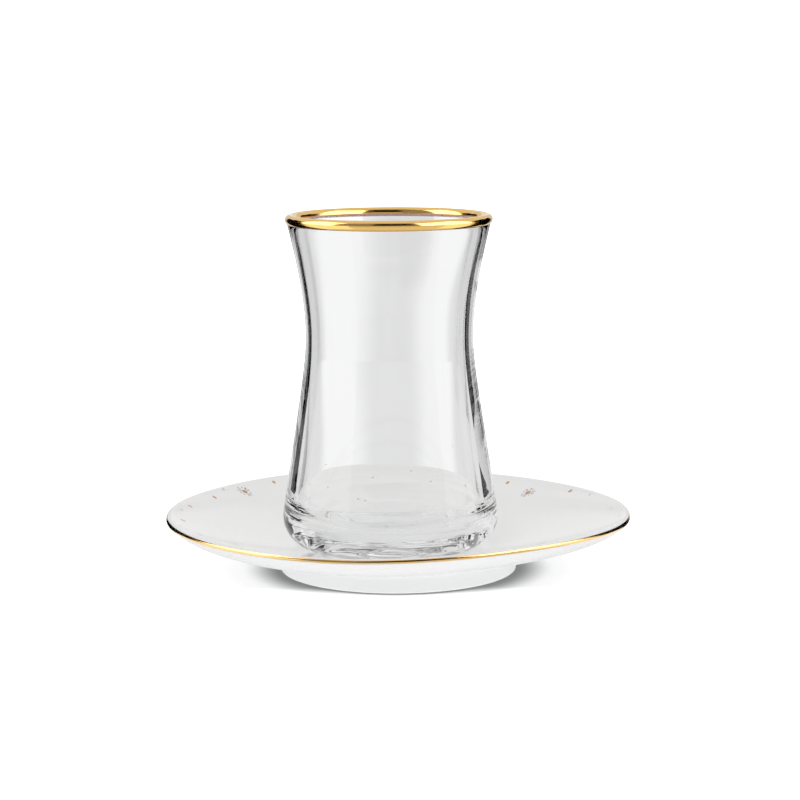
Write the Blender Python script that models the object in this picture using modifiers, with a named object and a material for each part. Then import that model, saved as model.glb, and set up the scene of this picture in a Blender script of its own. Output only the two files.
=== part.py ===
# Tea glass on its saucer: a waisted clear glass with a gilt lip bead, standing in a shallow
# porcelain dish with a foot ring and a gilt edge. Metres, +Z up, origin under the centre of the
# saucer on the surface it stands on.
import math

import bpy

mm = 0.001
clearance = 0.3 * mm          # left between pieces that touch

# Saucer
saucer_radius = 65.0 * mm
saucer_height = 16.2 * mm     # top of the rim above the table
well_height = 6.4 * mm        # flat middle that the glass stands in
well_radius = 25.0 * mm
topside_turn = (56.0 * mm, 10.9 * mm)    # radius and height where the dish bends up to its rim
underside_turn = (58.5 * mm, 8.5 * mm)
rim_radius = 0.45 * mm         # rounding of the porcelain under the gilt edge
foot_radius = 33.2 * mm       # outer side of the foot ring at the table
foot_width = 2.6 * mm
foot_height = 5.8 * mm        # where the foot ring runs into the dish
foot_flare = 0.4 * mm         # the foot ring is this much wider at its top
foot_rounding = 0.5 * mm
recess_depth = 3.1 * mm       # under the dish, inside the foot ring
recess_fillet = 3.0 * mm

# Gilt edge of the saucer
edge_width = 2.1 * mm
edge_height = 0.95 * mm

# Glass
glass_offset = -2.15 * mm     # it stands a little to the left of the saucer's centre
lip_height = 99.9 * mm        # top of the gilt bead above the table
waist_height = 65.6 * mm
waist_radius = 23.36 * mm
lip_flare = (0.300, 6.8 * mm)      # slope far from the waist, and how softly it sets in
body_flare = (0.160, 1.15 * mm)
corner_radius = 8.95 * mm     # rounded lower corner, down to the ring that the glass stands on
punt_radius = 18.0 * mm
punt_depth = 0.9 * mm         # hollow under the glass
base_thickness = 5.0 * mm
floor_dip = 0.5 * mm          # the inner floor is lowest in the middle
inner_corner_radius = 9.0 * mm
wall_at_lip = 1.4 * mm
wall_at_waist = 2.05 * mm
wall_at_corner = 3.8 * mm

# Gilt lip bead
bead_outer_radius = 28.8 * mm
bead_width = 3.1 * mm
bead_height = 2.95 * mm

# Facets
saucer_steps = 72
glass_steps = 60
bead_sides = 10


def clear_scene():
    for item in list(bpy.data.objects):
        bpy.data.objects.remove(item, do_unlink=True)


def make_material(name, colour, roughness, metallic=0.0, transmission=0.0, ior=1.5):
    material = bpy.data.materials.new(name)
    material.use_nodes = True
    shader = material.node_tree.nodes["Principled BSDF"]
    shader.inputs["Base Color"].default_value = (*colour, 1.0)
    shader.inputs["Roughness"].default_value = roughness
    shader.inputs["Metallic"].default_value = metallic
    shader.inputs["Transmission Weight"].default_value = transmission
    shader.inputs["IOR"].default_value = ior
    return material


def bend(start, turn, end, steps):
    """Points from start to end on a curve that bends towards turn; start itself is left out."""
    points = []
    for step in range(1, steps + 1):
        t = step / steps
        near, middle, far = (1 - t) ** 2, 2 * t * (1 - t), t ** 2
        radius = near * start[0] + middle * turn[0] + far * end[0]
        height = near * start[1] + middle * turn[1] + far * end[1]
        points.append((radius, height))
    return points


def arc(centre, radius, start, end, steps):
    """Points of an arc, with angles in degrees measured upwards from the outward direction."""
    points = []
    for step in range(steps + 1):
        angle = math.radians(start + (end - start) * step / steps)
        points.append((centre[0] + radius * math.cos(angle), centre[1] + radius * math.sin(angle)))
    return points


def oval(outer, top, width, height):
    """A closed oval section that reaches out to outer and up to top, run clockwise."""
    points = []
    for side in range(bead_sides):
        angle = math.pi - 2 * math.pi * side / bead_sides
        radius = outer - width / 2 + width / 2 * math.cos(angle)
        points.append((radius, top - height / 2 + height / 2 * math.sin(angle)))
    return points


def turned(name, profile, steps, material, collection, offset=0.0, closed=False):
    """Turn a profile of (radius, height) points round an upright axis into one solid."""
    edges = [(i, i + 1) for i in range(len(profile) - 1)]
    if closed:
        edges.append((len(profile) - 1, 0))
    mesh = bpy.data.meshes.new(name)
    mesh.from_pydata([(radius, 0.0, height) for radius, height in profile], edges, [])
    mesh.materials.append(material)
    piece = bpy.data.objects.new(name, mesh)
    piece.location.x = offset
    collection.objects.link(piece)
    screw = piece.modifiers.new("turn", "SCREW")
    screw.axis = "Z"
    screw.steps = steps
    screw.render_steps = steps
    screw.use_merge_vertices = True
    screw.merge_threshold = 0.00001
    screw.use_smooth_shade = True


def outer_radius(height):
    """Outside of the glass wall: two hyperbolas that share the waist."""
    slope, softness = lip_flare if height > waist_height else body_flare
    return waist_radius + math.hypot(softness, slope * (height - waist_height)) - softness


def inner_radius(height):
    """Inside of the wall, which is thinnest at the lip and thickens towards the lower corner."""
    if height > waist_height:
        t = (height - waist_height) / (lip_height - waist_height)
        return outer_radius(height) - wall_at_waist + (wall_at_waist - wall_at_lip) * t ** 3
    corner_top = well_height + 2 * corner_radius
    t = min((waist_height - height) / (waist_height - corner_top), 1.0)
    return outer_radius(height) - wall_at_waist - (wall_at_corner - wall_at_waist) * t * t * (3 - 2 * t)


def wall(radius_at, start, end, steps):
    """Points of the wall from one height to another, both ends left out."""
    heights = [start + (end - start) * step / steps for step in range(1, steps)]
    return [(radius_at(height), height) for height in heights]


def glass_profile():
    """The inner floor, up the inside, over the top of the wall and down the outside to the punt."""
    stand = well_height + clearance
    floor = stand + base_thickness
    inner_top = floor + inner_corner_radius
    inner_side = inner_radius(inner_top)
    floor_end = (inner_side - inner_corner_radius, floor + floor_dip)
    points = [(0.0, floor), floor_end]
    points += bend(floor_end, (inner_side - floor_dip, floor_end[1]), (inner_side, inner_top), 5)

    top_rounding = wall_at_lip / 2
    top = lip_height - bead_height - clearance - top_rounding
    points += wall(inner_radius, inner_top, top, 10)
    points += arc((outer_radius(top) - top_rounding, top), top_rounding, 180, 0, 4)

    lean = math.atan(body_flare[0])
    corner_top = stand + corner_radius * (1 + math.sin(lean))
    corner_centre = (outer_radius(corner_top) - corner_radius * math.cos(lean), stand + corner_radius)
    points += wall(outer_radius, top, corner_top, 11)
    points += arc(corner_centre, corner_radius, math.degrees(lean), -90, 6)
    points += [(punt_radius, stand + punt_depth / 2), (0.0, stand + punt_depth)]
    return points


def saucer_profile():
    """Well, dish, ledge under the gilt edge, underside, foot ring and the recess inside it."""
    ledge_height = saucer_height - edge_height - clearance
    ledge_start = saucer_radius - edge_width - clearance
    well_end = (well_radius, well_height)
    points = [(0.0, well_height), well_end]
    points += bend(well_end, topside_turn, (ledge_start, saucer_height - clearance), 8)
    points.append((ledge_start, ledge_height))
    rim_centre = (saucer_radius - rim_radius - clearance, ledge_height - rim_radius)
    points += arc(rim_centre, rim_radius, 90, -45, 3)

    foot_top = (foot_radius + foot_flare, foot_height)
    points += bend(points[-1], underside_turn, foot_top, 7)
    points += bend(foot_top, (foot_radius, foot_height / 2), (foot_radius, foot_rounding), 3)
    foot_inner = foot_radius - foot_width
    points += [(foot_radius - foot_rounding, 0.0), (foot_inner, 0.0)]
    recess_end = (foot_inner - recess_fillet, recess_depth)
    points += bend((foot_inner, 0.0), (foot_inner, recess_depth), recess_end, 3)
    points.append((0.0, recess_depth))
    return points


def build():
    clear_scene()
    parts = bpy.data.collections.new("tea_glass_and_saucer")
    bpy.context.scene.collection.children.link(parts)

    porcelain = make_material("white_porcelain", (0.88, 0.875, 0.87), 0.12)
    turned("saucer", saucer_profile(), saucer_steps, porcelain, parts)
    edge_gilding = make_material("edge_gilding", (0.80, 0.60, 0.30), 0.18, metallic=1.0)
    edge = oval(saucer_radius, saucer_height, edge_width, edge_height)
    turned("saucer_gilt_edge", edge, saucer_steps, edge_gilding, parts, closed=True)

    clear_glass = make_material("clear_glass", (1.0, 1.0, 1.0), 0.0, transmission=1.0, ior=1.52)
    turned("tea_glass", glass_profile(), glass_steps, clear_glass, parts, glass_offset)
    lip_gilding = make_material("lip_gilding", (0.88, 0.63, 0.30), 0.12, metallic=1.0)
    bead = oval(bead_outer_radius, lip_height, bead_width, bead_height)
    turned("glass_gilt_lip", bead, glass_steps, lip_gilding, parts, glass_offset, closed=True)


build()
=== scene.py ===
# Tea glass with a gilt lip on a porcelain saucer with a gilt edge: finishes, light and camera.
import math
import random

import bpy
import bmesh
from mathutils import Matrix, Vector, noise


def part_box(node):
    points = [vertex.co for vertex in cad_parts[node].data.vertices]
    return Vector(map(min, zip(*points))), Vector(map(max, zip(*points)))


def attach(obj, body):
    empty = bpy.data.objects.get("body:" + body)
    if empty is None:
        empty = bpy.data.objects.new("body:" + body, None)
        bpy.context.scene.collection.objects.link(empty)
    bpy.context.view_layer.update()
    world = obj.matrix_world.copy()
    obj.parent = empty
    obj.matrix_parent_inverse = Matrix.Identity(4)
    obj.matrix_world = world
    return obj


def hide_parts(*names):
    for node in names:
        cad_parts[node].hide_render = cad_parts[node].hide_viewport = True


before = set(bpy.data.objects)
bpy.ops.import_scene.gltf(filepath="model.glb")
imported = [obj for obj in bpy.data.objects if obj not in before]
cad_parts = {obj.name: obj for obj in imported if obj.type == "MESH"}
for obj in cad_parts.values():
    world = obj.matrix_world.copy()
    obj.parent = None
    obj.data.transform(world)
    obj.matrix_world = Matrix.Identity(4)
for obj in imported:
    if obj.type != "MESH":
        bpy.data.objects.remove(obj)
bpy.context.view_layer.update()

mm = 0.001


# Places and sizes read from the model
lipLow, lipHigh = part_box("glass_gilt_lip")
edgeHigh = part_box("saucer_gilt_edge")[1]
glassAxisX = (lipLow.x + lipHigh.x) / 2
lipTop = lipHigh.z
lipRadius = (lipHigh.x - lipLow.x) / 2
saucerRadius = edgeHigh.x
saucerTop = edgeHigh.z
print("frame:", "glass axis", round(glassAxisX, 5), "lip", round(lipTop, 5), "saucer", round(saucerRadius, 5))


def deselectAll():
    if bpy.context.object and bpy.context.object.mode != "OBJECT":
        bpy.ops.object.mode_set(mode="OBJECT")
    bpy.ops.object.select_all(action="DESELECT")


def bendPoints(start, turn, end, steps):     # a soft bend from start to end, start left out
    points = []
    for step in range(1, steps + 1):
        t = step / steps
        near, middle, far = (1 - t) ** 2, 2 * t * (1 - t), t ** 2
        points.append(tuple(near * a + middle * b + far * c for a, b, c in zip(start, turn, end)))
    return points


def ovalPoint(centre, width, height, angle):     # angle in degrees
    turn = math.radians(angle)
    return centre[0] + width * math.cos(turn), centre[1] + height * math.sin(turn)


def arcPoints(centre, width, height, start, end, steps):     # part of an oval
    angles = [start + (end - start) * step / steps for step in range(steps + 1)]
    return [ovalPoint(centre, width, height, angle) for angle in angles]


def fadeOver(value, low, high):     # 0 at low, 1 at high, soft between
    t = min(max((value - low) / (high - low), 0.0), 1.0)
    return t * t * (3 - 2 * t)


def turnOutline(name, outline, steps, axisX=0.0, closed=False, sweep=360.0, startAngle=0.0):
    # one corner is dragged along the outline, then the line is spun round the axis
    deselectAll()
    bpy.ops.mesh.primitive_plane_add(size=mm, location=(0, 0, 0))
    piece = bpy.context.object
    piece.name = name
    bpy.ops.object.mode_set(mode="EDIT")
    bpy.ops.mesh.select_all(action="SELECT")
    bpy.ops.mesh.merge(type="CENTER")
    bpy.ops.transform.translate(value=(outline[0][0], 0, outline[0][1]))
    for before, after in zip(outline, outline[1:]):
        move = (after[0] - before[0], 0, after[1] - before[1])
        bpy.ops.mesh.extrude_region_move(TRANSFORM_OT_translate={"value": move})
    bpy.ops.mesh.select_all(action="SELECT")
    if closed:     # the last corner lies on the first
        bpy.ops.mesh.remove_doubles(threshold=0.001 * mm)
    turn = -math.radians(sweep)     # a negative angle spins anticlockwise, seen from above
    bpy.ops.mesh.spin(steps=steps, angle=turn, center=(0, 0, 0), axis=(0, 0, 1))
    bpy.ops.mesh.select_all(action="SELECT")
    bpy.ops.mesh.remove_doubles(threshold=0.001 * mm)
    bpy.ops.mesh.normals_make_consistent(inside=False)
    bpy.ops.object.mode_set(mode="OBJECT")
    piece.location.x = axisX
    piece.rotation_euler.z = math.radians(startAngle)
    bpy.ops.object.transform_apply(location=True, rotation=True, scale=True)
    return piece


def smoothFaces(piece, angle):
    deselectAll()
    piece.select_set(True)
    bpy.context.view_layer.objects.active = piece
    bpy.ops.object.shade_smooth_by_angle(angle=math.radians(angle))


def giveMaterial(piece, material):
    piece.data.materials.clear()
    piece.data.materials.append(material)


def copyOf(piece):
    copy = piece.copy()
    copy.data = piece.data.copy()
    bpy.context.collection.objects.link(copy)
    return copy


def joinCopies(name, first, copies):     # the copies become one piece, and what they were copied from goes
    bpy.data.objects.remove(first)
    deselectAll()
    for copy in copies:
        copy.select_set(True)
    bpy.context.view_layer.objects.active = copies[0]
    bpy.ops.object.join()
    piece = bpy.context.object
    piece.name = name
    bpy.ops.object.transform_apply(location=True, rotation=True, scale=True)
    smoothFaces(piece, 80)
    return piece


# Shared shader group: slow tone drift, fine haze and a soft wavy surface
def makeSurfaceGroup():
    group = bpy.data.node_groups.new("handFinish", "ShaderNodeTree")
    face = group.interface
    for socketName in ("Tone A", "Tone B"):
        face.new_socket(name=socketName, in_out="INPUT", socket_type="NodeSocketColor")
    for socketName in ("Scale", "Haze Scale", "Rough Low", "Rough High", "Wave Depth"):
        face.new_socket(name=socketName, in_out="INPUT", socket_type="NodeSocketFloat")
    face.new_socket(name="Colour", in_out="OUTPUT", socket_type="NodeSocketColor")
    face.new_socket(name="Roughness", in_out="OUTPUT", socket_type="NodeSocketFloat")
    face.new_socket(name="Normal", in_out="OUTPUT", socket_type="NodeSocketVector")
    nodes, links = group.nodes, group.links
    given = nodes.new("NodeGroupInput")
    result = nodes.new("NodeGroupOutput")
    coord = nodes.new("ShaderNodeTexCoord")
    drift = nodes.new("ShaderNodeTexNoise")
    drift.inputs["Detail"].default_value = 2.0
    haze = nodes.new("ShaderNodeTexNoise")
    haze.inputs["Detail"].default_value = 4.0
    tone = nodes.new("ShaderNodeMix")
    tone.data_type = "RGBA"
    rough = nodes.new("ShaderNodeMapRange")
    bump = nodes.new("ShaderNodeBump")
    bump.inputs["Distance"].default_value = 0.1 * mm
    links.new(coord.outputs["Object"], drift.inputs["Vector"])
    links.new(coord.outputs["Object"], haze.inputs["Vector"])
    links.new(given.outputs["Scale"], drift.inputs["Scale"])
    links.new(given.outputs["Haze Scale"], haze.inputs["Scale"])
    links.new(drift.outputs["Fac"], tone.inputs["Factor"])
    links.new(given.outputs["Tone A"], tone.inputs["A"])
    links.new(given.outputs["Tone B"], tone.inputs["B"])
    links.new(haze.outputs["Fac"], rough.inputs["Value"])
    links.new(given.outputs["Rough Low"], rough.inputs["To Min"])
    links.new(given.outputs["Rough High"], rough.inputs["To Max"])
    links.new(drift.outputs["Fac"], bump.inputs["Height"])
    links.new(given.outputs["Wave Depth"], bump.inputs["Strength"])
    links.new(tone.outputs["Result"], result.inputs["Colour"])
    links.new(rough.outputs["Result"], result.inputs["Roughness"])
    links.new(bump.outputs["Normal"], result.inputs["Normal"])
    return group


handFinish = makeSurfaceGroup()


def newMaterial(name):
    material = bpy.data.materials.new(name)
    material.use_nodes = True
    tree = material.node_tree
    return material, tree, tree.nodes["Principled BSDF"]


def addFinish(tree, shader, values, colour=True):
    finish = tree.nodes.new("ShaderNodeGroup")
    finish.node_tree = handFinish
    for socketName, value in values.items():
        finish.inputs[socketName].default_value = value
    if colour:
        tree.links.new(finish.outputs["Colour"], shader.inputs["Base Color"])
    tree.links.new(finish.outputs["Roughness"], shader.inputs["Roughness"])
    tree.links.new(finish.outputs["Normal"], shader.inputs["Normal"])
    return finish


# Porcelain saucer
saucer = {
    "wellHeight": 6.4 * mm,
    "wellRadius": 25.0 * mm,
    "topTurn": (56.0 * mm, 10.9 * mm),
    "underTurn": (58.5 * mm, 8.5 * mm),
    "edgeHalfWidth": 0.9 * mm,      # rounded edge of the rim
    "edgeHalfHeight": 0.85 * mm,
    "footRadius": 33.2 * mm,
    "footWidth": 2.6 * mm,
    "footHeight": 5.8 * mm,
    "footFlare": 0.4 * mm,
    "footRounding": 0.7 * mm,
    "recessDepth": 3.1 * mm,
    "recessFillet": 3.0 * mm,
    "filletReach": (2.4 * mm, 0.2 * mm),      # of the bend from the foot into the dish, out and up
    "filletDrop": (0.2 * mm, 2.4 * mm),       # and in and down
    "glazeEnd": 125.0,                        # where the top runs into the rounded edge, in degrees
}
edgeCentre = (saucerRadius - saucer["edgeHalfWidth"], saucerTop - saucer["edgeHalfHeight"])
topStart = (saucer["wellRadius"], saucer["wellHeight"])
topEnd = ovalPoint(edgeCentre, saucer["edgeHalfWidth"], saucer["edgeHalfHeight"], saucer["glazeEnd"])


def dishTop(steps):
    return bendPoints(topStart, saucer["topTurn"], topEnd, steps)


def saucerOutline():
    points = [(0.0, saucer["wellHeight"])]
    points += [(topStart[0] * step / 8, topStart[1]) for step in range(1, 9)]     # across the well
    points += dishTop(40)
    points += arcPoints(edgeCentre, saucer["edgeHalfWidth"], saucer["edgeHalfHeight"], 115, -50, 18)
    foot, rounding = saucer["footRadius"], saucer["footRounding"]
    footTop = (foot + saucer["footFlare"], saucer["footHeight"])
    fillet = (footTop[0] + saucer["filletReach"][0], footTop[1] + saucer["filletReach"][1])
    filletFoot = (footTop[0] - saucer["filletDrop"][0], footTop[1] - saucer["filletDrop"][1])
    points += bendPoints(points[-1], saucer["underTurn"], fillet, 34)
    points += bendPoints(fillet, footTop, filletFoot, 10)
    points += bendPoints(points[-1], (foot + 0.1 * mm, 2.0 * mm), (foot, rounding), 4)
    footInner = foot - saucer["footWidth"]
    points += bendPoints(points[-1], (foot, 0.0), (foot - rounding, 0.0), 5)
    points += bendPoints((footInner + rounding, 0.0), (footInner, 0.0), (footInner, rounding), 5)
    recessEnd = (footInner - saucer["recessFillet"], saucer["recessDepth"])
    points += bendPoints(points[-1], (footInner, saucer["recessDepth"]), recessEnd, 8)
    points += [(recessEnd[0] * (1 - step / 6), recessEnd[1]) for step in range(1, 7)]
    return points


firingWarp = {
    # angle, reach and height of each wave
    "waves": ((-55.0, 55.0, 1.30 * mm), (42.0, 45.0, -0.35 * mm), (118.0, 35.0, 0.38 * mm)),
    "from": 30 * mm,      # it grows from here
    "full": 62 * mm,      # to here
}


def warpAt(x, y):     # the rim is not quite level, as fired porcelain often is
    radius = math.hypot(x, y)
    angle = math.degrees(math.atan2(y, x))
    lift = 0.0
    for centre, reach, height in firingWarp["waves"]:
        off = (angle - centre + 180) % 360 - 180
        if abs(off) < reach:
            lift += height * math.cos(math.radians(90 * off / reach)) ** 2
    return lift * fadeOver(radius, firingWarp["from"], firingWarp["full"])


def makeWarped(piece):
    for corner in piece.data.vertices:
        corner.co.z += warpAt(corner.co.x, corner.co.y)
    piece.data.update()


def makePorcelain():
    material, tree, shader = newMaterial("glazedPorcelain")
    addFinish(tree, shader, {
        "Scale": 34.0, "Haze Scale": 2200.0,
        "Tone A": (0.835, 0.828, 0.822, 1), "Tone B": (0.855, 0.850, 0.846, 1),
        "Rough Low": 0.06, "Rough High": 0.14, "Wave Depth": 0.10,
    })
    shader.inputs["IOR"].default_value = 1.5
    shader.inputs["Coat Weight"].default_value = 0.35
    shader.inputs["Coat Roughness"].default_value = 0.04
    shader.inputs["Subsurface Weight"].default_value = 0.08
    shader.inputs["Subsurface Radius"].default_value = (1.2 * mm, 1.1 * mm, 1.0 * mm)
    shader.inputs["Subsurface Scale"].default_value = 1.0
    return material


porcelain = makePorcelain()
saucerBody = turnOutline("saucerBody", saucerOutline(), steps=216)
makeWarped(saucerBody)
smoothFaces(saucerBody, 50)
giveMaterial(saucerBody, porcelain)
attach(saucerBody, "root")
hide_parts("saucer")
print("saucer turned:", len(saucerBody.data.polygons), "faces")


# Small scattered ornament on the far half of the rim: dots and ringed dots, slightly raised
motifs = {
    "lift": 0.05 * mm,
    "rings": ((60.2, 139.5), (57.6, 47.5)),     # radius and angle of each ringed dot
    "goldDots": ((61.8, 127.5), (61.2, 152.0), (61.6, 166.5), (60.4, 183.0), (62.0, 34.5), (61.0, 57.0)),
    "greyDots": ((63.0, 145.5), (62.2, 173.0), (62.6, 26.0), (61.4, 8.0), (62.2, -4.0), (56.8, -164.0)),
    "petals": 10,
    "petalReach": (1.9, 2.3),      # of the ring, along the rim and towards it
    # widths along the rim and lengths towards it, in millimetres, drawn between two
    "petalSizes": ((0.45, 0.62), (0.75, 1.0)),
    "goldSizes": ((1.0, 1.4), (1.5, 1.9)),
    "greySizes": ((0.7, 1.0), (1.0, 1.3)),
    "heartSize": (1.6 * mm, 2.3 * mm),
    "drawSeed": 7,
}


def onDish(radius):     # height and slope of the dish at a radius
    path = [topStart] + dishTop(40)
    for near, far in zip(path, path[1:]):
        if near[0] <= radius <= far[0]:
            t = (radius - near[0]) / (far[0] - near[0])
            return near[1] + t * (far[1] - near[1]), math.atan2(far[1] - near[1], far[0] - near[0])
    return saucer["wellHeight"], 0.0


def addDots(name, places, material):
    # each place is x, y, width along the rim and length towards it; one dot is modelled and copied
    deselectAll()
    bpy.ops.mesh.primitive_uv_sphere_add(segments=10, ring_count=6, radius=0.5)
    first = bpy.context.object
    dots = []
    for x, y, width, length in places:
        height, slope = onDish(math.hypot(x, y))
        dot = copyOf(first)
        dot.location = (x, y, height + warpAt(x, y))
        dot.rotation_euler = (slope, 0, math.atan2(y, x) - math.pi / 2)
        dot.scale = (width, length, 2 * motifs["lift"])
        dots.append(dot)
    piece = joinCopies(name, first, dots)
    giveMaterial(piece, material)
    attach(piece, "root")


def rimPlace(radius, angle, along=0.0, towards=0.0):     # millimetres and degrees
    turn = math.radians(angle)
    x = (radius + towards) * math.cos(turn) - along * math.sin(turn)
    y = (radius + towards) * math.sin(turn) + along * math.cos(turn)
    return x * mm, y * mm


def drawSize(draw, sizes):
    return [draw.uniform(low, high) * mm for low, high in sizes]


def makeMotifs():
    draw = random.Random(motifs["drawSeed"])
    hearts, golds, petals, greys = [], [], [], []
    reachAlong, reachTowards = motifs["petalReach"]
    for radius, angle in motifs["rings"]:
        hearts.append((*rimPlace(radius, angle), *motifs["heartSize"]))
        for step in range(motifs["petals"]):
            turn = 2 * math.pi * (step + draw.uniform(-0.2, 0.2)) / motifs["petals"]
            along, towards = reachAlong * math.cos(turn), reachTowards * math.sin(turn)
            for reach in (0.7, 1.0) if step % 3 else (0.85,):
                place = rimPlace(radius, angle, reach * along, reach * towards)
                petals.append((*place, *drawSize(draw, motifs["petalSizes"])))
    for radius, angle in motifs["goldDots"]:
        golds.append((*rimPlace(radius, angle), *drawSize(draw, motifs["goldSizes"])))
    for radius, angle in motifs["greyDots"]:
        greys.append((*rimPlace(radius, angle), *drawSize(draw, motifs["greySizes"])))
    addDots("motifHearts", hearts, motifPaint("motifGold", (0.40, 0.24, 0.09, 1), (0.47, 0.30, 0.13, 1)))
    addDots("motifGoldDots", golds, motifPaint("motifBrown", (0.46, 0.27, 0.15, 1), (0.58, 0.38, 0.22, 1)))
    addDots("motifPetals", petals, motifPaint("motifMauve", (0.42, 0.33, 0.37, 1), (0.54, 0.45, 0.48, 1)))
    addDots("motifGreyDots", greys, motifPaint("motifGrey", (0.48, 0.46, 0.45, 1), (0.58, 0.57, 0.54, 1)))


def motifPaint(name, toneA, toneB):
    material, tree, shader = newMaterial(name)
    addFinish(tree, shader, {
        "Scale": 900.0, "Haze Scale": 2200.0, "Tone A": toneA, "Tone B": toneB,
        "Rough Low": 0.20, "Rough High": 0.35, "Wave Depth": 0.10,
    })
    return material


makeMotifs()
print("ornament laid")


# Gilding, on the lip and on the saucer's edge
def makeGilding(name, values, backTone, border, fade):
    # backTone shows under a line across the section, given by its height at the axis and its slope
    material, tree, shader = newMaterial(name)
    finish = addFinish(tree, shader, values, colour=False)
    coord = tree.nodes.new("ShaderNodeTexCoord")
    centre = tree.nodes.new("ShaderNodeMapping")
    centre.inputs["Location"].default_value = (-border["axisX"], 0, 0)
    flat = tree.nodes.new("ShaderNodeVectorMath")
    flat.operation = "MULTIPLY"
    flat.inputs[1].default_value = (1, 1, 0)
    radius = tree.nodes.new("ShaderNodeVectorMath")
    radius.operation = "LENGTH"
    split = tree.nodes.new("ShaderNodeSeparateXYZ")
    above = tree.nodes.new("ShaderNodeMath")     # height over the line
    above.operation = "MULTIPLY_ADD"
    above.inputs[1].default_value = -border["slope"]
    shade = tree.nodes.new("ShaderNodeMapRange")
    shade.interpolation_type = "SMOOTHSTEP"
    shade.inputs["From Min"].default_value = border["height"]
    shade.inputs["From Max"].default_value = border["height"] + fade
    mix = tree.nodes.new("ShaderNodeMix")
    mix.data_type = "RGBA"
    mix.inputs["A"].default_value = backTone
    tree.links.new(coord.outputs["Object"], centre.inputs["Vector"])
    tree.links.new(centre.outputs["Vector"], flat.inputs[0])
    tree.links.new(flat.outputs["Vector"], radius.inputs[0])
    tree.links.new(centre.outputs["Vector"], split.inputs["Vector"])
    tree.links.new(radius.outputs["Value"], above.inputs[0])
    tree.links.new(split.outputs["Z"], above.inputs[2])
    tree.links.new(above.outputs["Value"], shade.inputs["Value"])
    tree.links.new(shade.outputs["Result"], mix.inputs["Factor"])
    tree.links.new(finish.outputs["Colour"], mix.inputs["B"])
    tree.links.new(mix.outputs["Result"], shader.inputs["Base Color"])
    shader.inputs["Metallic"].default_value = 1.0
    return material


edgeGilding = {
    "highAngle": 52.0,       # it starts outside the crest of the rim
    "lowAngle": -16.0,       # and stops under the outermost point
    "lift": 0.03 * mm,       # thickness of the gilding
    "depth": 0.7,            # how deep it is let into the rim, of the rim's own rounding
    "brownBelow": 1.35 * mm,       # browner this far under the top of the rim
}


def edgeOutline():
    lift = edgeGilding["lift"]
    halfWidth, halfHeight = saucer["edgeHalfWidth"], saucer["edgeHalfHeight"]
    high, low = edgeGilding["highAngle"], edgeGilding["lowAngle"]
    outside = arcPoints(edgeCentre, halfWidth + lift, halfHeight + lift, high, low, 18)
    depth = edgeGilding["depth"]
    inside = arcPoints(edgeCentre, halfWidth * depth, halfHeight * depth, low, high, 10)
    return outside + inside + outside[:1]


edgeGilt = makeGilding("edgeGilding", {
    "Scale": 500.0, "Haze Scale": 1800.0,
    "Tone A": (0.80, 0.52, 0.20, 1), "Tone B": (0.88, 0.60, 0.27, 1),
    "Rough Low": 0.10, "Rough High": 0.22, "Wave Depth": 0.15,
}, (0.55, 0.32, 0.10, 1), {"axisX": 0.0, "slope": 0.0, "height": saucerTop - edgeGilding["brownBelow"]}, 0.3 * mm)
saucerGilt = turnOutline("saucerEdgeGilding", edgeOutline(), steps=216, closed=True)
makeWarped(saucerGilt)
smoothFaces(saucerGilt, 50)
giveMaterial(saucerGilt, edgeGilt)
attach(saucerGilt, "root")
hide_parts("saucer_gilt_edge")


bead = {
    "width": 3.1 * mm,
    "height": 2.95 * mm,
    "innerReach": 1.75 * mm,      # how far the gilding comes down inside
    "outerEnd": -62.0,            # where it ends outside, in degrees
    "wallTop": 1.0 * mm,          # the glass ends this far under the top of the bead
    "deepRay": 2.5,               # it is clear for light that has turned more often than this
}


def beadOutline():
    # a rounded roll over the lip, cut slantwise through the wall from its inner to its outer border
    centre = (lipRadius - bead["width"] / 2, lipTop - bead["innerReach"])
    outerCentre = (centre[0], lipTop - bead["height"] / 2)
    points = arcPoints(centre, bead["width"] / 2, bead["innerReach"], 180, 90, 12)
    points += arcPoints(outerCentre, bead["width"] / 2, bead["height"] / 2, 90, bead["outerEnd"], 24)[1:]
    return points + points[:1]


def hideFromDeepRays(material):
    # the thick base of the glass pipes light up to the bead, this keeps brown blots out of it
    tree = material.node_tree
    path = tree.nodes.new("ShaderNodeLightPath")
    deep = tree.nodes.new("ShaderNodeMath")
    deep.operation = "GREATER_THAN"
    deep.inputs[1].default_value = bead["deepRay"]
    clear = tree.nodes.new("ShaderNodeBsdfTransparent")
    mix = tree.nodes.new("ShaderNodeMixShader")
    tree.links.new(path.outputs["Ray Depth"], deep.inputs[0])
    tree.links.new(deep.outputs["Value"], mix.inputs["Fac"])
    tree.links.new(tree.nodes["Principled BSDF"].outputs["BSDF"], mix.inputs[1])
    tree.links.new(clear.outputs["BSDF"], mix.inputs[2])
    tree.links.new(mix.outputs["Shader"], tree.nodes["Material Output"].inputs["Surface"])


def beadBorder():     # the line of that slanting cut
    (innerX, innerZ), (outerX, outerZ) = beadOutline()[0], beadOutline()[-2]
    slope = (outerZ - innerZ) / (outerX - innerX)
    return {"axisX": glassAxisX, "slope": slope, "height": innerZ - slope * innerX + 0.03 * mm}


lipGilt = makeGilding("lipGilding", {
    "Scale": 400.0, "Haze Scale": 1500.0,
    "Tone A": (0.88, 0.55, 0.17, 1), "Tone B": (0.94, 0.60, 0.21, 1),
    "Rough Low": 0.10, "Rough High": 0.17, "Wave Depth": 0.12,
}, (0.50, 0.20, 0.12, 1), beadBorder(), 0.12 * mm)
hideFromDeepRays(lipGilt)
lipBead = turnOutline("lipGilding", beadOutline(), steps=240, axisX=glassAxisX, closed=True)
smoothFaces(lipBead, 60)
giveMaterial(lipBead, lipGilt)
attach(lipBead, "root")
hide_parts("glass_gilt_lip")
print("gilding made")


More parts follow.
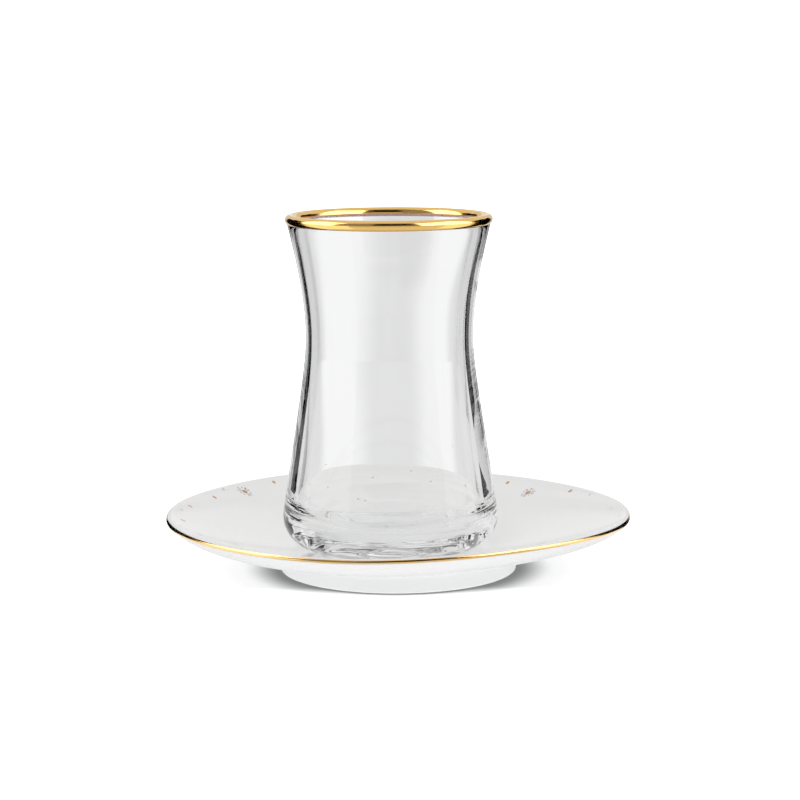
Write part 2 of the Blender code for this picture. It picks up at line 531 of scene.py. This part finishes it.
# Clear glass
glass = {
    "waistHeight": 65.6 * mm,
    "waistRadius": 23.36 * mm,
    "ringTop": 38.0 * mm,      # faint rings from the mould end here
    "lipFlare": (0.300, 6.8 * mm),
    "bodyFlare": (0.160, 1.15 * mm),
    "cornerRadius": 8.95 * mm,
    "puntRadius": 18.0 * mm,
    "puntDepth": 0.9 * mm,
    "baseThickness": 5.0 * mm,
    "floorDip": 0.5 * mm,
    "innerCorner": 9.0 * mm,
    "wallAtLip": 1.4 * mm,
    "wallAtWaist": 2.05 * mm,
    "wallAtCorner": 3.8 * mm,
    "bend": 1.52,              # index of refraction
}


def outerRadius(height):
    slope, softness = glass["lipFlare"] if height > glass["waistHeight"] else glass["bodyFlare"]
    return glass["waistRadius"] + math.hypot(softness, slope * (height - glass["waistHeight"])) - softness


def innerRadius(height):
    if height > glass["waistHeight"]:
        t = (height - glass["waistHeight"]) / (lipTop - glass["waistHeight"])
        loss = (glass["wallAtWaist"] - glass["wallAtLip"]) * t ** 3
        return outerRadius(height) - glass["wallAtWaist"] + loss
    cornerTop = saucer["wellHeight"] + 2 * glass["cornerRadius"]
    t = min((glass["waistHeight"] - height) / (glass["waistHeight"] - cornerTop), 1.0)
    gain = (glass["wallAtCorner"] - glass["wallAtWaist"]) * t * t * (3 - 2 * t)
    return outerRadius(height) - glass["wallAtWaist"] - gain


def wallPoints(radiusAt, start, end, steps):
    heights = [start + (end - start) * step / steps for step in range(1, steps)]
    return [(radiusAt(height), height) for height in heights]


def glassOutline():
    stand = saucer["wellHeight"]
    floor = stand + glass["baseThickness"]
    innerTop = floor + glass["innerCorner"]
    innerSide = innerRadius(innerTop)
    floorEnd = (innerSide - glass["innerCorner"], floor + glass["floorDip"])
    shares = [step / 8 * 0.6 for step in range(8)] + [0.6 + 0.4 * step / 40 for step in range(41)]
    points = [(floorEnd[0] * share, floor + glass["floorDip"] * share ** 2) for share in shares]
    points += bendPoints(floorEnd, (innerSide - 0.4 * mm, floorEnd[1] + 0.3 * mm), (innerSide, innerTop), 44)
    rounding = glass["wallAtLip"] / 2
    top = lipTop - bead["wallTop"] - rounding
    points += wallPoints(innerRadius, innerTop, glass["ringTop"], 34)
    points += wallPoints(innerRadius, glass["ringTop"] - 0.4 * mm, top, 26)
    points += arcPoints((outerRadius(top) - rounding, top), rounding, rounding, 180, 0, 8)
    lean = math.atan(glass["bodyFlare"][0])
    corner = glass["cornerRadius"]
    cornerTop = stand + corner * (1 + math.sin(lean))
    cornerCentre = (outerRadius(cornerTop) - corner * math.cos(lean), stand + corner)
    points += wallPoints(outerRadius, top, glass["ringTop"], 26)
    points += wallPoints(outerRadius, glass["ringTop"] + 0.5 * mm, cornerTop, 24)
    points += arcPoints(cornerCentre, corner, corner, math.degrees(lean), -90, 40)
    puntEnd = (glass["puntRadius"], stand + glass["puntDepth"] / 2)
    points += bendPoints(points[-1], (puntEnd[0] + 1.5 * mm, stand), puntEnd, 5)
    for step in range(1, 11):     # in to the axis
        points.append((puntEnd[0] * (1 - step / 10), puntEnd[1] + glass["puntDepth"] / 2 * (step / 10)))
    return points


clearFinish = {
    "Scale": 45.0, "Haze Scale": 700.0,
    "Tone A": (0.988, 0.990, 0.990, 1), "Tone B": (0.991, 0.992, 0.992, 1),
    "Rough Low": 0.0, "Rough High": 0.004, "Wave Depth": 0.06,
}


def makeClearGlass(name, bend):
    material, tree, shader = newMaterial(name)
    addFinish(tree, shader, clearFinish)
    shader.inputs["IOR"].default_value = bend
    shader.inputs["Transmission Weight"].default_value = 1.0
    # light passes to what stands behind, so the glass leaves no black shadow on the saucer
    path = tree.nodes.new("ShaderNodeLightPath")
    either = tree.nodes.new("ShaderNodeMath")
    either.operation = "MAXIMUM"
    clear = tree.nodes.new("ShaderNodeBsdfTransparent")
    clear.inputs["Color"].default_value = (0.96, 0.965, 0.965, 1)
    mix = tree.nodes.new("ShaderNodeMixShader")
    tree.links.new(path.outputs["Is Shadow Ray"], either.inputs[0])
    tree.links.new(path.outputs["Is Diffuse Ray"], either.inputs[1])
    tree.links.new(either.outputs["Value"], mix.inputs["Fac"])
    tree.links.new(shader.outputs["BSDF"], mix.inputs[1])
    tree.links.new(clear.outputs["BSDF"], mix.inputs[2])
    tree.links.new(mix.outputs["Shader"], tree.nodes["Material Output"].inputs["Surface"])
    return material


uneven = {
    "insideShift": -0.36 * mm,     # the inside stands a little to the left of the outside
    "shiftFade": (72 * mm, 99 * mm),     # but not at the lip
    "ringLength": 3.0 * mm,        # from one ring to the next
    "ringDepth": 0.028 * mm,
    "outerLength": 3.9 * mm,       # and the same outside
    "outerDepth": 0.004 * mm,
    "ringFade": (19 * mm, 25 * mm),      # the rings die out between these heights
    "fadeLean": 1 * mm,            # a little lower on the right
    "floorClear": (15 * mm, 20 * mm),    # none on the middle of the floor
    "footClear": (6.5 * mm, 7.5 * mm),   # none where the glass stands
    # radius and height of the marks on the floor
    "marks": ((13.0 * mm, 0.110 * mm), (14.6 * mm, 0.050 * mm), (19.3 * mm, 0.130 * mm)),
    "markWidth": 0.30 * mm,
    "markDrift": 1.6 * mm,
    "marksBelow": 14 * mm,
}


def ringWave(path, sideX, sideY, length, seedPlace):
    # a wave along the section, drawn out of true round the glass
    warp = noise.noise(Vector((sideX * 0.9, sideY * 0.9, path / (14 * mm) + seedPlace)))
    swell = noise.noise(Vector((sideX * 1.2, sideY * 1.2, path / (6 * mm) - seedPlace)))
    return math.sin(2 * math.pi * path / length + 4.0 * warp) * (1 + 1.2 * swell)


def markLift(radius, sideX, sideY):
    lift = 0.0
    for markRadius, height in uneven["marks"]:
        ring = markRadius / mm
        drift = uneven["markDrift"] * noise.noise(Vector((sideX * 1.3, sideY * 1.3, ring + 5)))
        off = (radius - markRadius - drift) / uneven["markWidth"]
        swell = noise.noise(Vector((sideX * 1.7, sideY * 1.7, ring)))
        lift += height * (0.7 + 2.4 * swell) * math.exp(-off * off)
    return lift


def makeUneven(piece):
    work = bmesh.new()
    work.from_mesh(piece.data)
    work.normal_update()
    for corner in work.verts:
        x, y, z = corner.co.x - glassAxisX, corner.co.y, corner.co.z
        radius = math.hypot(x, y)
        if radius < 0.5 * mm:
            continue
        sideX, sideY = x / radius, y / radius
        outward = corner.normal.x * sideX + corner.normal.y * sideY
        inside = corner.normal.z > 0.5 or outward < 0
        path = radius + z
        lean = uneven["fadeLean"] * sideX
        reach = 1 - fadeOver(z, uneven["ringFade"][0] - lean, uneven["ringFade"][1] - lean)
        if inside:
            wave = ringWave(path, sideX, sideY, uneven["ringLength"], 3.0)
            lift = uneven["ringDepth"] * reach * wave * fadeOver(radius, *uneven["floorClear"])
            if z < uneven["marksBelow"]:
                lift += markLift(radius, sideX, sideY)
        else:
            wave = ringWave(path, sideX, sideY, uneven["outerLength"], 11.0)
            lift = uneven["outerDepth"] * reach * wave * fadeOver(z, *uneven["footClear"])
        normal = corner.normal.copy()
        corner.co += normal * lift
        if inside:
            shift = uneven["insideShift"] * (1 - fadeOver(z, *uneven["shiftFade"]))
            corner.co.x += shift * fadeOver(radius, 0.0, 6 * mm)     # the middle of the floor stays
    work.to_mesh(piece.data)
    work.free()


clearGlass = makeClearGlass("clearGlass", glass["bend"])
glassBody = turnOutline("glassBody", glassOutline(), steps=330, axisX=glassAxisX)
makeUneven(glassBody)
smoothFaces(glassBody, 60)
giveMaterial(glassBody, clearGlass)
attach(glassBody, "root")
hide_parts("tea_glass")


bubbles = {
    # angle, height and radius in millimetres of the seeds of air in the wall
    "places": ((-100, 30.5, 0.22), (-66, 29.0, 0.20), (-108, 24.6, 0.24), (-104, 24.2, 0.18),
               (-92, 17.5, 0.24), (-131, 33.0, 0.14), (-128, 27.0, 0.16), (75, 22.0, 0.24),
               (38, 31.0, 0.20), (160, 19.0, 0.22)),
    "stretch": (0.8, 1.5, 1.0),      # across the wall, along it and upwards
    "tilt": 20,
    "bend": 0.658,      # air as seen from inside the glass
}


def makeBubbles():
    deselectAll()
    bpy.ops.mesh.primitive_uv_sphere_add(segments=10, ring_count=6, radius=mm)
    first = bpy.context.object
    copies = []
    for angle, height, size in bubbles["places"]:
        radius = (outerRadius(height * mm) + innerRadius(height * mm)) / 2
        bubble = copyOf(first)
        turn = math.radians(angle)
        bubble.location = (glassAxisX + radius * math.cos(turn), radius * math.sin(turn), height * mm)
        bubble.rotation_euler = (0, math.radians(bubbles["tilt"]), turn)
        bubble.scale = [size * share for share in bubbles["stretch"]]
        copies.append(bubble)
    return joinCopies("airBubbles", first, copies)


airInGlass = makeClearGlass("airInGlass", bubbles["bend"])
airBubbles = makeBubbles()
giveMaterial(airBubbles, airInGlass)
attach(airBubbles, "root")
print("glass turned:", len(glassBody.data.polygons), "faces")


# Floor, light and cards
studio = {
    "floorSize": 8.0,
    "floorShade": 0.93,
    "shadeSeen": 0.29,       # how much of that the camera sees, the rest of the white is glow
    "floorBounce": 0.57,     # extra light that it throws up at the saucer
    "bounceLoss": (36 * mm, 80 * mm, -0.25),       # less of it away from the foot
    "bounceTone": (0.955, 0.978, 1.0, 1),
    "fill": 0.58,            # light from all round on matt surfaces
    # the floor clears to white between two distances, by an amount
    "shadowReach": (33.4 * mm, 44.5 * mm, 0.70),
    "shadowTail": (42 * mm, 62 * mm, 0.21),
    "shadowEnd": (0.1, 0.6, 0.9),
    "shadowFront": (-24 * mm, -38 * mm, 0.9),      # towards the front
    "contact": (33.2 * mm, 35.5 * mm, 1.0),        # but for a dark line at the foot
    "through": 0.85,         # the brightest card through the glass
    "cardInner": 0.085,      # cards start this far from the middle
    "cardOuter": 0.32,
    "cardRise": 0.02,        # over this length they turn up from the floor
    "cardLift": 0.4 * mm,
    "backTop": 0.25,
    "flagTop": 0.20,
    "flagInner": {"right": 0.205, "left": 0.140},
    "stripReach": (0.076, 0.094),
    "darkTop": 0.24,
    "softTop": 0.13,
    "softGlow": 1.35,
    "lampTop": 0.55,         # brighter cards stand over the soft ones
    "lampGlow": 3.2,
    "duskGlow": 0.3,
    "overheadHeight": 0.95,
    "overheadSize": (1.0, 0.8),
    "overheadPower": 3.8,
}


def rayMix(tree, terms, start):
    # adds up start and an amount for each kind of ray
    path = tree.nodes.new("ShaderNodeLightPath")
    last = None
    for kind, amount in terms.items():
        step = tree.nodes.new("ShaderNodeMath")
        step.operation = "MULTIPLY_ADD"
        step.inputs[1].default_value = amount
        step.inputs[2].default_value = start
        tree.links.new(path.outputs["Is " + kind + " Ray"], step.inputs[0])
        if last:
            tree.links.new(last, step.inputs[2])
        last = step.outputs["Value"]
    return last


def stageMaterial(name, shade, shadeTerms, glow, glowTerms):
    material = bpy.data.materials.new(name)
    material.use_nodes = True
    tree = material.node_tree
    tree.nodes.remove(tree.nodes["Principled BSDF"])
    matt = tree.nodes.new("ShaderNodeBsdfDiffuse")
    matt.inputs["Color"].default_value = (shade, shade, shade, 1)
    if shadeTerms:
        tree.links.new(rayMix(tree, shadeTerms, shade), matt.inputs["Color"])
    light = tree.nodes.new("ShaderNodeEmission")
    light.inputs["Strength"].default_value = glow
    if glowTerms:
        tree.links.new(rayMix(tree, glowTerms, glow), light.inputs["Strength"])
    both = tree.nodes.new("ShaderNodeAddShader")
    tree.links.new(matt.outputs["BSDF"], both.inputs[0])
    tree.links.new(light.outputs["Emission"], both.inputs[1])
    tree.links.new(both.outputs["Shader"], tree.nodes["Material Output"].inputs["Surface"])
    material.cycles.emission_sampling = "NONE"
    return material


def ramp(tree, value, low, high, top):
    fade = tree.nodes.new("ShaderNodeMapRange")
    fade.interpolation_type = "SMOOTHSTEP"
    fade.inputs["From Min"].default_value = low
    fade.inputs["From Max"].default_value = high
    fade.inputs["To Max"].default_value = top
    tree.links.new(value, fade.inputs["Value"])
    return fade.outputs["Result"]


def maths(tree, operation, *values):
    node = tree.nodes.new("ShaderNodeMath")
    node.operation = operation
    for place, value in enumerate(values):
        tree.links.new(value, node.inputs[place])
    return node.outputs["Value"]


def number(tree, value):
    node = tree.nodes.new("ShaderNodeValue")
    node.outputs["Value"].default_value = value
    return node.outputs["Value"]


def firstShine(tree, depth=1.5):     # 1 where a shiny surface that the camera sees mirrors this
    path = tree.nodes.new("ShaderNodeLightPath")
    early = maths(tree, "LESS_THAN", path.outputs["Ray Depth"], number(tree, depth))
    return maths(tree, "MULTIPLY", path.outputs["Is Glossy Ray"], early)


def clearFloor(material):
    # away from the foot the camera sees the floor as white
    tree = material.node_tree
    light = tree.nodes["Emission"]
    plain = light.inputs["Strength"].links[0].from_socket
    coord = tree.nodes.new("ShaderNodeTexCoord")
    split = tree.nodes.new("ShaderNodeSeparateXYZ")
    reach = tree.nodes.new("ShaderNodeVectorMath")
    reach.operation = "LENGTH"
    tree.links.new(coord.outputs["Object"], split.inputs["Vector"])
    tree.links.new(coord.outputs["Object"], reach.inputs[0])
    away = reach.outputs["Value"]
    near = ramp(tree, away, *studio["shadowReach"])
    around = maths(tree, "ADD", near, ramp(tree, away, *studio["shadowTail"]))
    far = ramp(tree, away, *studio["shadowEnd"])
    front = ramp(tree, split.outputs["Y"], *studio["shadowFront"])
    front = maths(tree, "MULTIPLY", front, ramp(tree, away, *studio["contact"]))
    path = tree.nodes.new("ShaderNodeLightPath")
    seen = maths(tree, "ADD", maths(tree, "ADD", around, far), front)
    total = maths(tree, "MULTIPLY_ADD", path.outputs["Is Camera Ray"], seen, plain)
    lost = ramp(tree, away, *studio["bounceLoss"])
    total = maths(tree, "MULTIPLY_ADD", path.outputs["Is Diffuse Ray"], lost, total)
    behindGlass = seenThroughGlass(tree, floorBands)
    total = maths(tree, "MULTIPLY_ADD", path.outputs["Is Transmission Ray"], behindGlass, total)
    tree.links.new(total, light.inputs["Strength"])
    cool = tree.nodes.new("ShaderNodeMix")     # what it throws up is a little cooler
    cool.data_type = "RGBA"
    cool.inputs["A"].default_value = (1, 1, 1, 1)
    cool.inputs["B"].default_value = studio["bounceTone"]
    tree.links.new(path.outputs["Is Diffuse Ray"], cool.inputs["Factor"])
    tree.links.new(cool.outputs["Result"], light.inputs["Color"])
    return material


bands = {
    "inner": (8.4 * mm, 0.036),      # where the bright bands start: offset, and growth with distance
    "width": (10.1 * mm, 0.077),
    "soft": 0.28,
}
backBands = {"middle": 0.760, "bright": 0.93, "far": 0.71, "right": (0.12, 1.36), "left": (-0.30, 1.08)}
floorBands = {"middle": 0.790, "bright": 0.94, "far": 0.71, "right": (0.20, 1.58), "left": (-0.12, 1.32)}


def seenThroughGlass(tree, tones):
    # two upright bright bands left and right of a middle one, and darker room beyond them
    coord = tree.nodes.new("ShaderNodeTexCoord")
    split = tree.nodes.new("ShaderNodeSeparateXYZ")
    tree.links.new(coord.outputs["Object"], split.inputs["Vector"])
    x, y = split.outputs["X"], maths(tree, "MAXIMUM", split.outputs["Y"], number(tree, 0.0))
    offset, growth = bands["inner"]
    lessStart = maths(tree, "MULTIPLY_ADD", y, number(tree, -growth), number(tree, -offset))
    narrow, growth = bands["width"]
    width = maths(tree, "MULTIPLY_ADD", y, number(tree, growth), number(tree, narrow))
    offAxis = maths(tree, "SUBTRACT", x, number(tree, glassAxisX))
    tone = number(tree, tones["middle"])
    soft = bands["soft"]
    for side, (rise, fall) in ((1.0, tones["right"]), (-1.0, tones["left"])):
        along = maths(tree, "MULTIPLY_ADD", offAxis, number(tree, side), lessStart)
        place = maths(tree, "DIVIDE", along, width)
        up = ramp(tree, place, rise - soft, rise + soft, tones["bright"] - tones["middle"])
        down = ramp(tree, place, fall - soft, fall + soft, tones["far"] - tones["bright"])
        tone = maths(tree, "ADD", maths(tree, "ADD", tone, up), down)
    return tone


deselectAll()
bpy.ops.mesh.primitive_plane_add(size=studio["floorSize"], location=(0, 0, 0))
floorPiece = bpy.context.object
floorPiece.name = "floor"
floorShades = {"Camera": studio["shadeSeen"] - studio["floorShade"], "Transmission": -studio["floorShade"]}
floorGlow = {"Diffuse": studio["floorBounce"]}
paleFloor = stageMaterial("paleFloor", studio["floorShade"], floorShades, 0.0, floorGlow)
giveMaterial(floorPiece, clearFloor(paleFloor))


def addCard(name, fromAngle, toAngle, outline, glow=0.0, glowTerms=None):
    # a curved card; angles are from straight behind the glass, to the right
    dim = min(glow, studio["through"])
    card = turnOutline(name, outline, steps=12, sweep=toAngle - fromAngle, startAngle=90 - toAngle)
    face = stageMaterial(name + "Face", 0.0, None, dim, glowTerms)
    if glow > dim:
        tree = face.node_tree
        shine = maths(tree, "MULTIPLY", firstShine(tree), number(tree, glow - dim))
        strength = maths(tree, "ADD", shine, number(tree, dim))
        tree.links.new(strength, tree.nodes["Emission"].inputs["Strength"])
    giveMaterial(card, face)
    card.visible_camera = False
    card.visible_diffuse = False
    card.visible_shadow = False
    return card


def flagOutline(top, inner=studio["cardInner"]):     # it lies on the floor and stands up at its far end
    outer, lift = studio["cardOuter"], studio["cardLift"]
    stand = outer + studio["cardRise"]
    return [(inner, lift), (outer, lift), (stand, studio["cardRise"]), (stand, top)]


def standOutline(low, top):
    outer = studio["cardOuter"] + studio["cardRise"]
    return [(outer, low), (outer, top)]


softOutline = flagOutline(studio["softTop"])
stripOutline = [(reach, studio["cardLift"]) for reach in studio["stripReach"]]
lampOutline = standOutline(studio["softTop"], studio["lampTop"])
throughOnly = {"Transmission": studio["through"]}     # black only in reflections
backCard = addCard("backCard", -25, 25, standOutline(0.5 * mm, studio["backTop"]))
backTree = backCard.active_material.node_tree
backTree.links.new(seenThroughGlass(backTree, backBands), backTree.nodes["Emission"].inputs["Strength"])
addCard("flagRight", 31, 46, flagOutline(studio["flagTop"], studio["flagInner"]["right"]))
addCard("flagLeft", -46, -31, flagOutline(studio["flagTop"], studio["flagInner"]["left"]))
addCard("stripRight", 28, 70, stripOutline)     # for thin dark streaks in the base
addCard("stripLeft", -70, -28, stripOutline)
addCard("darkRight", 46, 74, flagOutline(studio["darkTop"]), glowTerms=throughOnly)
addCard("darkLeft", -74, -46, flagOutline(studio["darkTop"]), glowTerms=throughOnly)
addCard("softRight", 79, 119, softOutline, glow=studio["softGlow"])
addCard("softLeft", -137, -79, softOutline, glow=studio["softGlow"])
addCard("lampRight", 80, 145, lampOutline, glow=studio["lampGlow"])
addCard("lampLeft", -118, -72, lampOutline, glow=studio["lampGlow"])
addCard("duskLeft", -162, -118, lampOutline, glow=studio["duskGlow"])

deselectAll()
bpy.ops.object.light_add(type="AREA", location=(0, 0, studio["overheadHeight"]))
overhead = bpy.context.object
overhead.name = "overhead"
overhead.data.shape = "RECTANGLE"
overhead.data.size, overhead.data.size_y = studio["overheadSize"]
overhead.data.energy = studio["overheadPower"]
overhead.visible_glossy = False
overhead.visible_transmission = False


# The room round it all: each part has where it starts, where it is full, and its brightness
roomTones = {
    "gloom": 0.03,                   # what shiny surfaces see behind the camera
    "brow": (0.86, 0.93, 0.55),      # above it
    "table": (0.27, 0.19, 0.65),     # below it
    "sides": (-0.55, -0.20, 0.8),    # and at the sides and the back
    "haze": 0.78,                    # what the glass shows of the room
    "gap": 0.10,                     # and of the dark gap between the cards and the overhead light
    "gapLow": (0.38, 0.46),
    "gapHigh": (0.66, 0.74),
    "behind": (-0.10, -0.45, -0.75),     # high up behind the camera it is dark
    "behindHigh": (0.16, 0.28, 1.0),     # from here up
    "white": 1.2,                    # where the camera sees it
}


def makeRoom():
    world = bpy.data.worlds.new("studioRoom")
    bpy.context.scene.world = world
    world.use_nodes = True
    world.cycles.sampling_method = "NONE"
    room = world.node_tree
    background = room.nodes["Background"]
    background.inputs["Color"].default_value = (1, 1, 1, 1)
    direction = room.nodes.new("ShaderNodeTexCoord")
    axes = room.nodes.new("ShaderNodeSeparateXYZ")
    room.links.new(direction.outputs["Generated"], axes.inputs["Vector"])
    towardsY, up = axes.outputs["Y"], axes.outputs["Z"]
    path = room.nodes.new("ShaderNodeLightPath")
    high = ramp(room, up, *roomTones["brow"])     # mirrored by gold and glaze
    low = ramp(room, up, *roomTones["table"])
    aside = ramp(room, towardsY, *roomTones["sides"])
    shiny = maths(room, "MAXIMUM", maths(room, "MAXIMUM", high, low), aside)
    shiny = maths(room, "SUBTRACT", shiny, number(room, roomTones["haze"]))
    # rays through glass count as glossy
    kinds = {"Camera": roomTones["white"], "Diffuse": studio["fill"], "Glossy": roomTones["haze"]}
    strength = rayMix(room, kinds, roomTones["gloom"])
    mirrored = firstShine(room, 2.5)     # the room counts one more than a surface does
    strength = maths(room, "MULTIPLY_ADD", mirrored, shiny, strength)
    gapLow = ramp(room, up, *roomTones["gapLow"], roomTones["gap"] - roomTones["haze"])
    gapHigh = ramp(room, up, *roomTones["gapHigh"], roomTones["haze"] - roomTones["gap"])
    gap = maths(room, "ADD", gapLow, gapHigh)
    strength = maths(room, "MULTIPLY_ADD", path.outputs["Is Transmission Ray"], gap, strength)
    behind = ramp(room, towardsY, *roomTones["behind"])
    behind = maths(room, "MULTIPLY", behind, ramp(room, up, *roomTones["behindHigh"]))
    strength = maths(room, "MULTIPLY_ADD", path.outputs["Is Transmission Ray"], behind, strength)
    strength = maths(room, "MAXIMUM", strength, number(room, 0.0))
    room.links.new(strength, background.inputs["Strength"])


makeRoom()

paths = bpy.context.scene.cycles      # clear glass needs long light paths
paths.max_bounces = 40
paths.glossy_bounces = 24
paths.transmission_bounces = 32
paths.transparent_max_bounces = 32
paths.caustics_reflective = False
paths.caustics_refractive = False
print("studio set")


# Camera, at the photograph's angle
view = {
    "distance": 0.6396,
    "height": 0.14496,
    "sidestep": 0.69 * mm,
    "pitch": 8.6466,      # down, in degrees
    "roll": -0.3,
    "lens": 104.05,
    "sensor": 36,
}
bpy.ops.object.camera_add(location=(view["sidestep"], -view["distance"], view["height"]))
camera = bpy.context.object
camera.data.sensor_width = view["sensor"]
camera.data.lens = view["lens"]
camera.data.clip_start = 0.01
camera.rotation_euler = (math.radians(90 - view["pitch"]), 0, 0)
camera.rotation_euler.rotate_axis("Z", math.radians(view["roll"]))
bpy.context.scene.camera = camera
bpy.context.scene.view_settings.view_transform = "Standard"
bpy.context.scene.view_settings.look = "None"
print("camera set")
